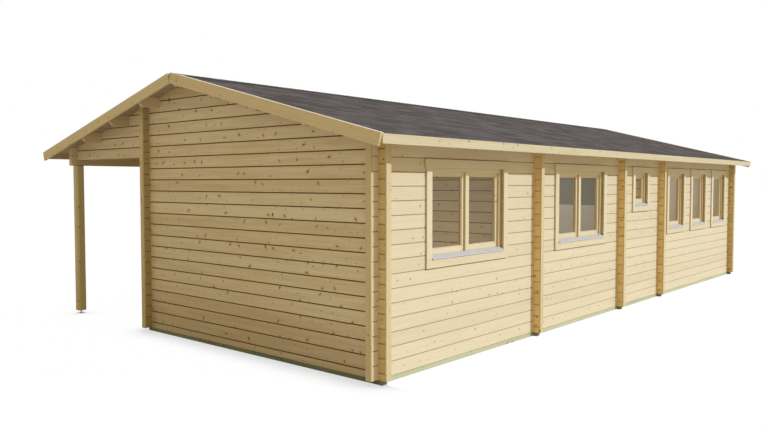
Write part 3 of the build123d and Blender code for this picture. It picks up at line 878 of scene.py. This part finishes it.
# Geometry Nodes
class Tree:
    """A geometry tree with named inputs that can be run on its own and kept as a plain mesh."""

    def __init__(self, name):
        self.tree = bpy.data.node_groups.new(name, "GeometryNodeTree")
        self.tree.interface.new_socket("Geometry", in_out="OUTPUT", socket_type="NodeSocketGeometry")
        self.given = self.tree.nodes.new("NodeGroupInput")
        self.shown = self.tree.nodes.new("NodeGroupOutput")
        self.keys = {}
        self.w = Wiring(self.tree)

    def ask(self, name, kind):
        socket = self.tree.interface.new_socket(name, in_out="INPUT", socket_type="NodeSocket" + kind)
        self.keys[name] = socket.identifier
        return self.given.outputs[name]

    def end(self, instances, seed, material):
        """Gives every copy its own tone, makes it real and sets the finish."""
        w = self.w
        tone = w.node("FunctionNodeRandomValue", data_type="FLOAT")
        w.join(seed, tone.inputs["Seed"])
        store = w.node("GeometryNodeStoreNamedAttribute", data_type="FLOAT", domain="INSTANCE")
        w.join(instances, store.inputs["Geometry"])
        store.inputs["Name"].default_value = "tone"
        w.join(tone.outputs[1], store.inputs["Value"])
        real = w.node("GeometryNodeRealizeInstances")
        w.join(store.outputs[0], real.inputs[0])
        paint = w.node("GeometryNodeSetMaterial")
        w.join(real.outputs[0], paint.inputs["Geometry"])
        w.join(material, paint.inputs["Material"])
        w.join(paint.outputs[0], self.shown.inputs[0])

    def run(self, name, base=None, **values):
        """The tree's result as a plain mesh."""
        holder = bpy.data.objects.new(name + "_holder", base or bpy.data.meshes.new(name + "_base"))
        bpy.context.scene.collection.objects.link(holder)
        modifier = holder.modifiers.new(name, "NODES")
        modifier.node_group = self.tree
        for key, value in values.items():
            modifier[self.keys[key]] = value
        graph = bpy.context.evaluated_depsgraph_get()
        made = holder.evaluated_get(graph)
        mesh = bpy.data.meshes.new_from_object(made, preserve_all_data_layers=True, depsgraph=graph)
        holder.modifiers.remove(modifier)
        bpy.data.objects.remove(holder)
        mesh.name = name
        return mesh


def pattern_object(name, bm):
    """A shape for a tree to copy, kept out of the picture."""
    mesh = bpy.data.meshes.new(name)
    bm.to_mesh(mesh)
    bm.free()
    return bpy.data.objects.new(name, mesh)


def copies_of(w, shape):
    """The geometry of the object that a tree is given."""
    info = w.node("GeometryNodeObjectInfo")
    w.join(shape, info.inputs["Object"])
    return info.outputs["Geometry"]


def course_tree():
    """Rows of shingles up a slope, every other row half a tab along."""
    t = Tree("shingle_courses")
    w = t.w
    shape = t.ask("Tab", "Object")
    columns = t.ask("Columns", "Int")
    courses = t.ask("Courses", "Int")
    wide = t.ask("Tab Width", "Float")
    exposure = t.ask("Exposure", "Float")
    seed = t.ask("Seed", "Int")
    material = t.ask("Felt", "Material")
    grid = w.node("GeometryNodeMeshGrid")
    w.join(w.math("MULTIPLY", w.math("SUBTRACT", columns, 1.0), wide), grid.inputs["Size X"])
    high = w.math("MULTIPLY", w.math("SUBTRACT", courses, 1.0), exposure)
    w.join(high, grid.inputs["Size Y"])
    w.join(columns, grid.inputs["Vertices X"])
    w.join(courses, grid.inputs["Vertices Y"])
    y = w.parts(w.node("GeometryNodeInputPosition").outputs[0])[1]
    row = w.math("ROUND", w.math("DIVIDE", w.math("ADD", y, w.math("MULTIPLY", high, 0.5)), exposure))
    half = w.math("MULTIPLY", w.math("MODULO", row, 2.0), w.math("MULTIPLY", wide, 0.5))
    jitter = w.node("FunctionNodeRandomValue", data_type="FLOAT")
    jitter.inputs[2].default_value = -TAB_JITTER
    jitter.inputs[3].default_value = TAB_JITTER
    w.join(w.math("ADD", seed, JITTER_SEED), jitter.inputs["Seed"])
    move = w.node("GeometryNodeSetPosition")
    w.join(grid.outputs[0], move.inputs["Geometry"])
    offset = w.vector(w.math("ADD", half, jitter.outputs[1]), w.math("MULTIPLY", high, 0.5), 0.0)
    w.join(offset, move.inputs["Offset"])
    copy = w.node("GeometryNodeInstanceOnPoints")
    w.join(move.outputs[0], copy.inputs["Points"])
    w.join(copies_of(w, shape), copy.inputs["Instance"])
    t.end(copy.outputs[0], seed, material)
    return t


def run_tree():
    """A run of like boards or caps side by side along X."""
    t = Tree("board_run")
    w = t.w
    shape = t.ask("Board", "Object")
    count = t.ask("Count", "Int")
    pitch = t.ask("Pitch", "Float")
    seed = t.ask("Seed", "Int")
    material = t.ask("Finish", "Material")
    line = w.node("GeometryNodeMeshLine")
    w.join(count, line.inputs["Count"])
    w.join(w.vector(pitch, 0.0, 0.0), line.inputs["Offset"])
    copy = w.node("GeometryNodeInstanceOnPoints")
    w.join(line.outputs[0], copy.inputs["Points"])
    w.join(copies_of(w, shape), copy.inputs["Instance"])
    t.end(copy.outputs[0], seed, material)
    return t


def screw_tree():
    """Screw heads on given points, each turned to face out of its board."""
    t = Tree("screw_heads")
    w = t.w
    t.tree.interface.new_socket("Points", in_out="INPUT", socket_type="NodeSocketGeometry")
    points = t.given.outputs["Points"]
    shape = t.ask("Head", "Object")
    seed = t.ask("Seed", "Int")
    material = t.ask("Finish", "Material")
    facing = w.node("GeometryNodeInputNamedAttribute", data_type="FLOAT_VECTOR")
    facing.inputs["Name"].default_value = "facing"
    turn = w.node("FunctionNodeAlignRotationToVector", axis="Z")
    w.join(facing.outputs[0], turn.inputs["Vector"])
    spin = w.node("FunctionNodeRandomValue", data_type="FLOAT")
    spin.inputs[3].default_value = math.pi
    w.join(seed, spin.inputs["Seed"])
    own = w.node("FunctionNodeRotateRotation", rotation_space="LOCAL")
    w.join(turn.outputs[0], own.inputs[0])
    w.join(w.vector(0.0, 0.0, spin.outputs[1]), own.inputs[1])
    copy = w.node("GeometryNodeInstanceOnPoints")
    w.join(points, copy.inputs["Points"])
    w.join(copies_of(w, shape), copy.inputs["Instance"])
    w.join(own.outputs[0], copy.inputs["Rotation"])
    t.end(copy.outputs[0], seed, material)
    return t


# Roof covering
def slope_frame(side, origin):
    """Axes of a slope: along the eave, up the slope, out of the roof."""
    up = Vector((0, -side * math.cos(PITCH), math.sin(PITCH)))
    out = Vector((0, side * math.sin(PITCH), math.cos(PITCH)))
    along = up.cross(out)
    turned = Matrix((along, up, out)).transposed().to_4x4()
    return Matrix.Translation(origin) @ turned


def tab_shape(exposure):
    """One felt tab, thick at its lower edge and thin under the next course."""
    tab = bmesh.new()
    half = TAB_WIDE / 2 - TAB_GAP
    far = exposure + TAB_LAP
    corners = [(-half, 0), (half, 0), (half, far), (-half, far)]
    foot = [tab.verts.new((x, y, TAB_FOOT)) for x, y in corners]
    head = [tab.verts.new((x, y, TAB_BUTT if y == 0 else TAB_HEAD)) for x, y in corners]
    tab.faces.new(list(reversed(foot)))
    tab.faces.new(head)
    for k in range(4):
        after = (k + 1) % 4
        tab.faces.new((foot[k], foot[after], head[after], head[k]))
    return pattern_object("tab", tab)


def trim_courses(mesh, half, top):
    """Cuts the courses off at both verges and at the ridge, and lays the underlay below them."""
    bm = bmesh.new()
    bm.from_mesh(mesh)
    for way in (-1, 1):
        geom = bm.verts[:] + bm.edges[:] + bm.faces[:]
        cut = bmesh.ops.bisect_plane(bm, geom=geom, plane_co=(way * half, 0, 0), plane_no=(way, 0, 0),
                                     clear_outer=True)
        edges = [e for e in cut["geom_cut"] if isinstance(e, bmesh.types.BMEdge)]
        bmesh.ops.holes_fill(bm, edges=edges)
    for vert in bm.verts:
        vert.co.y = min(vert.co.y, top)
    tone = bm.verts.layers.float["tone"]
    known = set(bm.verts)
    absorb(bm, block((-half, 0.0, 0.0), (half, top, UNDERLAY)))
    for vert in bm.verts:
        if vert not in known:
            vert[tone] = 1.0
    bm.to_mesh(mesh)
    bm.free()


def shingles():
    """Felt shingles on both slopes, in courses from the eave, over a felt underlay."""
    tree = course_tree()
    for side, name, seed in ((-1, "front", 31), (1, "porch", 47)):
        low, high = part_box(name + "_roof_boards")
        reach = max(abs(low[1]), abs(high[1]))
        eave = Vector((0, side * reach, high[2] - math.tan(PITCH) * reach))
        slope_long = reach / math.cos(PITCH)
        exposure = slope_long / COURSES
        eave_long = high[0] - low[0]
        columns = math.ceil(eave_long / TAB_WIDE) + SPARE_TABS
        shape = tab_shape(exposure)
        mesh = tree.run(name + "_shingles", Tab=shape, Columns=columns, Courses=COURSES, Exposure=exposure,
                        Seed=seed, Felt=felt, **{"Tab Width": TAB_WIDE})
        bpy.data.objects.remove(shape)
        trim_courses(mesh, eave_long / 2, slope_long - RIDGE_GAP)
        mesh.transform(slope_frame(side, eave))
        keep_piece(name + "_shingles", mesh, felt, (name + "_roof_covering",))


def ridge_caps():
    """Bent felt caps, each lapped over the next along the ridge."""
    low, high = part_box("ridge_cap")
    pitch = (high[0] - low[0]) / CAPS
    reach = high[1]
    drop = math.tan(PITCH) * reach
    bend = reach * CAP_BEND_SHARE
    bend_drop = drop * CAP_BEND_SHARE
    top = [(-reach, -drop), (-bend, -bend_drop), (0.0, -drop * CAP_CROWN_SHARE), (bend, -bend_drop),
           (reach, -drop)]
    bm = bmesh.new()
    rows = []
    for x, rise in ((0.0, 0.0), (pitch - CAP_GAP, -CAP_LIFT)):
        upper = [bm.verts.new((x, y, z + rise)) for y, z in top]
        under = [bm.verts.new((x, y, z + rise - CAP_THICK)) for y, z in reversed(top)]
        rows.append(upper + under)
    close_prism(bm, rows[0], rows[1])
    shape = pattern_object("cap", bm)
    mesh = run_tree().run("ridge_caps", Board=shape, Count=CAPS, Pitch=pitch, Seed=9, Finish=felt)
    bpy.data.objects.remove(shape)
    mesh.transform(Matrix.Translation((low[0], 0, high[2])))
    keep_piece("ridge_caps", mesh, None, ("ridge_cap",))


def roof_boards():
    """Matched boards from ridge to eave, with a bevelled joint on the room side."""
    tree = run_tree()
    rise = ROOF_BOARD_THICK / math.cos(PITCH)
    bevel = ROOF_BOARD_BEVEL
    for side, name, seed in ((-1, "front", 5), (1, "porch", 6)):
        low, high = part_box(name + "_roof_boards")
        reach = max(abs(low[1]), abs(high[1]))
        pitch = (high[0] - low[0]) / ROOF_BOARDS
        left = ROOF_BOARD_GAP
        right = pitch - ROOF_BOARD_GAP
        section = [(left, bevel), (bevel, 0.0), (pitch - bevel, 0.0), (right, bevel), (right, rise),
                   (left, rise)]
        bm = bmesh.new()
        grain = bm.verts.layers.float_vector.new("grain")
        rows = []
        for y in (0.0, reach):
            row = []
            for x, up in section:
                vert = bm.verts.new((x, side * y, high[2] - rise + up - math.tan(PITCH) * y))
                vert[grain] = Vector((y / math.cos(PITCH), x - pitch / 2, up))
                row.append(vert)
            rows.append(row)
        close_prism(bm, rows[0], rows[1])
        shape = pattern_object("roof_board", bm)
        title = name + "_matched_boards"
        mesh = tree.run(title, Board=shape, Count=ROOF_BOARDS, Pitch=pitch, Seed=seed, Finish=roof_pine)
        bpy.data.objects.remove(shape)
        mesh.transform(Matrix.Translation((low[0], 0, 0)))
        keep_piece(title, mesh, None, (name + "_roof_boards",))


# Windows and doors
def ring_members(low, high, face, foot=None):
    """The four members of a frame: standing ones full height, the others between them."""
    foot = face if foot is None else foot
    yield block((low.x, low.y, low.z), (low.x + face, high.y, high.z))
    yield block((high.x - face, low.y, low.z), (high.x, high.y, high.z))
    yield block((low.x + face, low.y, low.z), (high.x - face, high.y, low.z + foot))
    yield block((low.x + face, low.y, high.z - face), (high.x - face, high.y, high.z))


def window_joinery():
    """Frames with a middle post where two sashes meet, and sashes with glazing beads."""
    frames = Joinery(21)
    for solid in solids_of("window_frames"):
        low, high = extent(solid)
        for member in ring_members(low, high, FRAME_FACE):
            frames.board(member, EASE_FRAME)
        if high.x - low.x > TWO_SASHES_WIDE:
            x = (low.x + high.x) / 2
            half = FRAME_POST / 2
            post = block((x - half, low.y, low.z + FRAME_FACE), (x + half, high.y, high.z - FRAME_FACE))
            frames.board(post, EASE_FRAME)
        solid.free()
    frames.piece("window_frame_members", shaded_reveal_pine, "trim_wood", ("window_frames",))
    sashes = Joinery(22)
    pane_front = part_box("window_glass")[0][1]
    for solid in solids_of("window_sashes"):
        low, high = extent(solid)
        for member in ring_members(low, high, SASH_FACE, SASH_FOOT):
            sashes.board(member, EASE_FRAME)
        bead_low = Vector((low.x + SASH_FACE, pane_front - BEAD_DEEP, low.z + SASH_FOOT))
        bead_high = Vector((high.x - SASH_FACE, pane_front, high.z - SASH_FACE))
        for bead in ring_members(bead_low, bead_high, BEAD_FACE):
            sashes.board(bead, EASE_BEAD)
        solid.free()
    sashes.piece("window_sash_members", shaded_reveal_pine, "trim_wood", ("window_sashes",))
    dress("window_glass", pane)
    dress("window_sills", sill_paint)


def casings():
    windows = ("window_head_casings", "window_side_casings", "window_bottom_casings")
    timber("window_casings", 23, joinery_pine, "trim_wood", windows, EASE_FRAME)
    timber("door_casings", 24, trim_pine, "trim_wood", ("door_head_casings", "door_side_casings"), EASE_FRAME)


def doors():
    """Boarded leaves in plain frames, with hinges and a lever handle."""
    frames = Joinery(25)
    for solid in solids_of("door_frames"):
        low, high = extent(solid)
        for member in ring_members(low, high, DOOR_FRAME_FACE, THRESHOLD):
            frames.board(member, EASE_FRAME)
        solid.free()
    frames.piece("door_frame_members", trim_pine, "trim_wood", ("door_frames",))
    leaves = Joinery(26)
    hinges = bmesh.new()
    for solid in solids_of("door_leaves"):
        low, high = extent(solid)
        wide = (high.x - low.x) / DOOR_BOARDS
        for k in range(DOOR_BOARDS):
            x = low.x + k * wide
            board = block((x + BOARD_GAP, low.y, low.z), (x + wide - BOARD_GAP, high.y, high.z))
            leaves.board(board, EASE_DOOR_BOARD)
        for z in (low.z + HINGE_INSET, (low.z + high.z) / 2, high.z - HINGE_INSET):
            profile = [(0.0, z - HINGE_HALF), (HINGE_RADIUS, z - HINGE_BARREL),
                       (HINGE_RADIUS, z + HINGE_BARREL), (0.0, z + HINGE_HALF)]
            lathe(hinges, low.x, high.y + HINGE_PROUD, profile, HINGE_SIDES)
        solid.free()
    leaves.piece("door_boards", trim_pine, "trim_wood", ("door_leaves",))
    place_piece("door_hinges", hinges, zinc)
    handles = bmesh.new()
    for solid in solids_of("door_handles"):
        ease_edges(solid, EASE_HANDLE, 3)
        absorb(handles, solid)
    place_piece("door_levers", handles, zinc, ("door_handles",))


# Screws
def end_board_screws():
    """Place and way of each screw in the boards over the log ends, in pairs up the board."""
    for node, way in (("front_end_boards", (0, -1, 0)), ("porch_end_boards", (0, 1, 0)),
                      ("gable_end_boards", (1, 0, 0))):
        for solid in solids_of(node):
            low, high = extent(solid)
            size = high - low
            sign = way[0] * (1 if low.x > 0 else -1) + way[1]
            count = max(2, round(size.z / END_SCREW_STEP))
            for k in range(count + 1):
                z = low.z + END_SCREW_FOOT + (size.z - END_SCREW_FOOT - END_SCREW_TOP) * k / count
                for part in END_SCREW_SHARES:
                    if way[0]:
                        yield (high.x if sign > 0 else low.x, low.y + size.y * part, z), (sign, 0, 0)
                    else:
                        yield (low.x + size.x * part, high.y if sign > 0 else low.y, z), way
            solid.free()


def casing_screws():
    """Place and way of each screw along the middle of the casings."""
    for node, out in (("window_head_casings", -1), ("window_bottom_casings", -1), ("window_side_casings", -1),
                      ("door_head_casings", 1), ("door_side_casings", 1)):
        for solid in solids_of(node):
            low, high = extent(solid)
            y = high.y if out > 0 else low.y
            standing = high.z - low.z > high.x - low.x
            size = high.z - low.z if standing else high.x - low.x
            count = max(1, round(size / CASING_SCREW_STEP))
            for k in range(count + 1):
                run = CASING_SCREW_INSET + (size - 2 * CASING_SCREW_INSET) * k / count
                if standing:
                    yield ((low.x + high.x) / 2, y, low.z + run), (0, out, 0)
                else:
                    yield (low.x + run, y, (low.z + high.z) / 2), (0, out, 0)
            solid.free()


def screw_heads():
    """Countersunk heads on the casings and end boards."""
    places = list(end_board_screws()) + list(casing_screws())
    base = bpy.data.meshes.new("screw_points")
    base.from_pydata([point for point, way in places], [], [])
    facing = base.attributes.new("facing", "FLOAT_VECTOR", "POINT")
    facing.data.foreach_set("vector", [part for point, way in places for part in way])
    head = bmesh.new()
    lathe(head, 0, 0, [(share * SCREW_RADIUS, z) for share, z in SCREW_SHARES], SCREW_SIDES)
    shape = pattern_object("screw", head)
    mesh = screw_tree().run("screws", base, Head=shape, Seed=3, Finish=screw_zinc)
    bpy.data.objects.remove(shape)
    keep_piece("screws", mesh, None)


# Room finish that shows behind the second and the last windows
def room_lining():
    """Painted panels on cross walls: dark over light in the second room, grey in the last."""
    walls = [extent(solid) for solid in solids_of("room_walls")]
    second = walls[0][1].x, walls[1][0].x
    last = walls[2][1].x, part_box("far_gable_wall")[0][0]
    y0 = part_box("window_frames")[1][1] + LINING_GAP
    y1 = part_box("door_frames")[0][1] - LINING_GAP
    for name, room, z0, z1, material in (("lower", second, LINING_FOOT, LINING_SPLIT, lining_light),
                                         ("upper", second, LINING_SPLIT, LINING_TOP, lining_dark),
                                         ("last_room", last, LINING_FOOT, LINING_TOP, lining_grey)):
        work = bmesh.new()
        for x, way in zip(room, (1, -1)):
            near, far = sorted((x, x + way * LINING_THICK))
            panel = block((near, y0, z0), (far, y1, z1))
            ease_edges(panel, EASE_LINING, 1)
            absorb(work, panel)
        place_piece("lining_" + name, work, material)


# Studio
def seen_rays(w):
    """Rays that meet the white background: the camera's own, reflected ones and those through glass."""
    path = w.node("ShaderNodeLightPath")
    seen = w.math("MAXIMUM", path.outputs["Is Camera Ray"], path.outputs["Is Glossy Ray"])
    return w.math("MAXIMUM", seen, path.outputs["Is Transmission Ray"])


def studio_floor(scene):
    """Pale floor that glows white where it is seen, dimmer close to the shaded sides of the cabin."""
    mesh = bpy.data.meshes.new("floor")
    half = FLOOR_HALF
    corners = [(-half, -half, 0), (half, -half, 0), (half, half, 0), (-half, half, 0)]
    mesh.from_pydata(corners, [], [(0, 1, 2, 3)])
    ground = bpy.data.objects.new("floor", mesh)
    scene.collection.objects.link(ground)
    material, w, shader = finish_start("studio_floor")
    shader.inputs["Base Color"].default_value = FLOOR_COLOUR
    shader.inputs["Roughness"].default_value = 1.0
    shader.inputs["Specular IOR Level"].default_value = 0.0
    near = w.node("ShaderNodeAmbientOcclusion")
    near.inputs["Distance"].default_value = SHADE_REACH
    place = w.parts(w.object_place())
    beside = w.math("LESS_THAN", place[0], SHADE_PAST_X)
    shaded = w.math("MAXIMUM", beside, w.math("GREATER_THAN", place[1], SHADE_PAST_Y))
    dim = w.math("MULTIPLY", w.ease(near.outputs["AO"], SHADE_FULL, 1.0, SHADE_DEPTH, 0.0), shaded)
    glow = w.node("ShaderNodeEmission")
    w.join(w.math("SUBTRACT", FLOOR_GLOW, dim), glow.inputs["Strength"])
    blend = w.node("ShaderNodeMixShader")
    w.join(w.math("MULTIPLY", seen_rays(w), FLOOR_GLOW_SHARE), blend.inputs[0])
    w.join(shader.outputs[0], blend.inputs[1])
    w.join(glow.outputs[0], blend.inputs[2])
    w.join(blend.outputs[0], material.node_tree.nodes["Material Output"].inputs["Surface"])
    mesh.materials.append(material)


def white_room(scene):
    """Soft warm sky light that is seen as plain white."""
    world = bpy.data.worlds.new("white_room")
    scene.world = world
    world.use_nodes = True
    w = Wiring(world.node_tree)
    sky = world.node_tree.nodes["Background"]
    sky.inputs["Color"].default_value = SKY_COLOUR
    sky.inputs["Strength"].default_value = SKY_STRENGTH
    white = w.node("ShaderNodeBackground")
    white.inputs["Color"].default_value = (1.0, 1.0, 1.0, 1.0)
    blend = w.node("ShaderNodeMixShader")
    w.join(seen_rays(w), blend.inputs[0])
    w.join(sky.outputs[0], blend.inputs[1])
    w.join(white.outputs[0], blend.inputs[2])
    w.join(blend.outputs[0], world.node_tree.nodes["World Output"].inputs["Surface"])


def lamps(scene):
    """The sun, from the front and the far end, and one bulb in each room."""
    lamp = bpy.data.lights.new("sun", "SUN")
    lamp.energy = SUN_STRENGTH
    lamp.color = SUN_COLOUR
    lamp.angle = SUN_ANGLE
    sun = bpy.data.objects.new("sun", lamp)
    scene.collection.objects.link(sun)
    sun.rotation_euler = SUN_FROM.to_track_quat("Z", "Y").to_euler()
    for solid, (level, high_up, colour) in zip(solids_of("floor_boards"), BULBS):
        low, high = extent(solid)
        bulb = bpy.data.lights.new("room_light", "POINT")
        bulb.energy = level * (high.x - low.x)
        bulb.color = colour
        bulb.shadow_soft_size = BULB_RADIUS
        spot = bpy.data.objects.new("room_light", bulb)
        scene.collection.objects.link(spot)
        spot.location = ((low.x + high.x) / 2, (low.y + high.y) / 2 - BULB_FORWARD, high_up)
        solid.free()


def photo_camera(scene):
    """The camera, placed as for the photo."""
    lens = bpy.data.cameras.new("camera")
    lens.sensor_width = SENSOR_WIDE
    lens.lens = LENS
    lens.clip_end = CAMERA_REACH
    camera = bpy.data.objects.new("camera", lens)
    scene.collection.objects.link(camera)
    camera.location = CAMERA_PLACE
    level = math.cos(CAMERA_TIP)
    gaze = Vector((level * math.cos(CAMERA_YAW), level * math.sin(CAMERA_YAW), math.sin(CAMERA_TIP)))
    camera.rotation_euler = gaze.to_track_quat("-Z", "Y").to_euler()
    scene.camera = camera


def studio():
    """Pale floor, white backdrop, sun, sky and room lights, camera as in the photo."""
    scene = bpy.context.scene
    scene.view_settings.view_transform = "Standard"
    studio_floor(scene)
    white_room(scene)
    lamps(scene)
    photo_camera(scene)


log_walls()
bearers()
floor()
posts()
post_feet()
purlins()
barge_boards()
verge_laths()
fascias()
end_boards()
roof_boards()
shingles()
ridge_caps()
window_joinery()
casings()
doors()
screw_heads()
room_lining()
studio()
